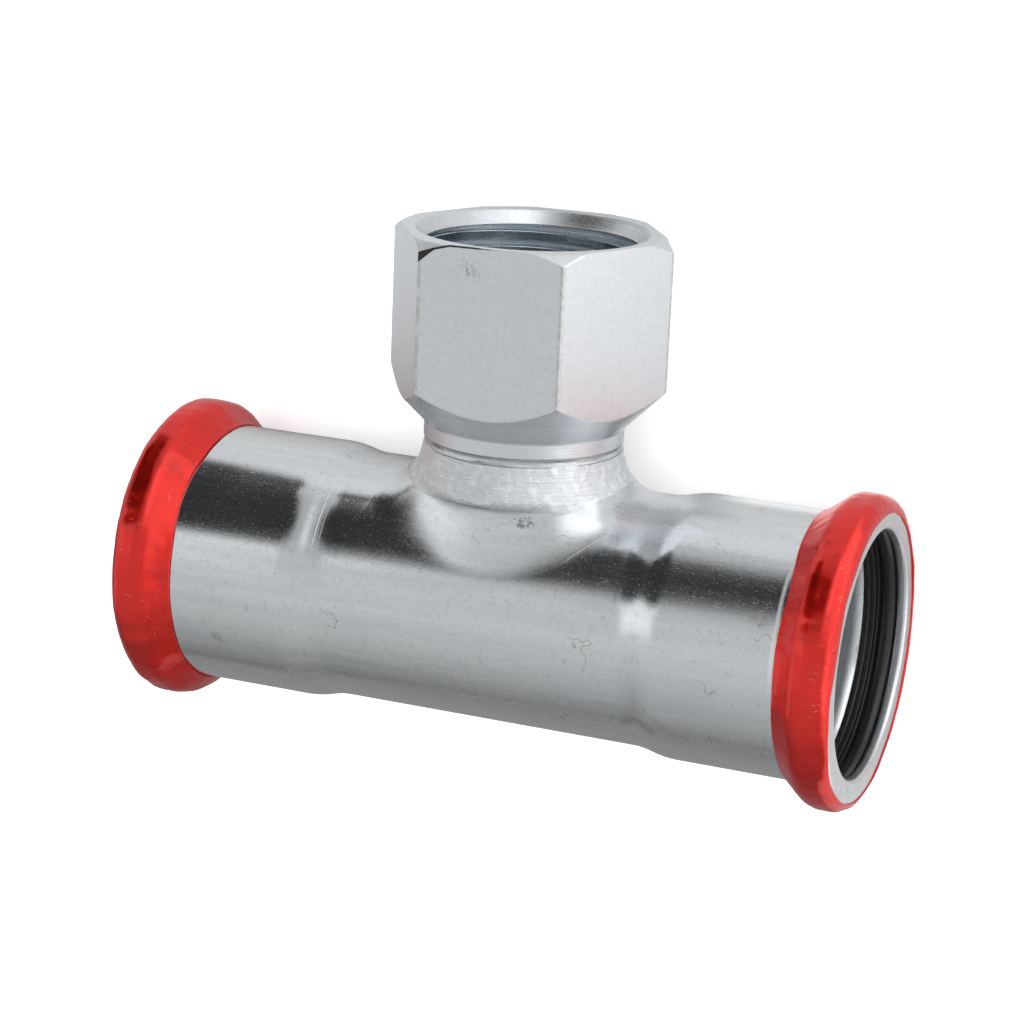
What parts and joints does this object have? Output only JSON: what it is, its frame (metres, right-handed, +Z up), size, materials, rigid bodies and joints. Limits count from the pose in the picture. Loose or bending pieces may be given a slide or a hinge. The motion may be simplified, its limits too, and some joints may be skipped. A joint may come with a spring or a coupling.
{
  "type": "press tee",
  "caption": "Zinc-plated steel tee for pressed pipe: two press sockets with red films over the beads and black seals, and a hexagonal branch with an internal pipe thread.",
  "frame": {"origin": "centre of the bounding box, on the surface that the tee lies on", "axes": "+X along the run towards the right socket, +Y towards the mouth of the branch, which dips a little, +Z up"},
  "size_m": [0.1106, 0.0786, 0.0454],
  "materials": {
    "tube_steel": "bright zinc plating, satin, scratched",
    "socket_steel": "zinc plating on bar stock, fine matt flats, turned neck",
    "weld_steel": "brushed weld, plated",
    "red_film": "glossy shrunk film with creases",
    "black_rubber": "smooth semi-matt"
  },
  "bodies": {
    "root": {"tee_body": "tube_steel", "threaded_socket": "socket_steel", "weld_seam": "weld_steel", "indicator_film_left": "red_film", "indicator_film_right": "red_film", "seal_ring_left": "black_rubber", "seal_ring_right": "black_rubber"}
  },
  "joints": []
}
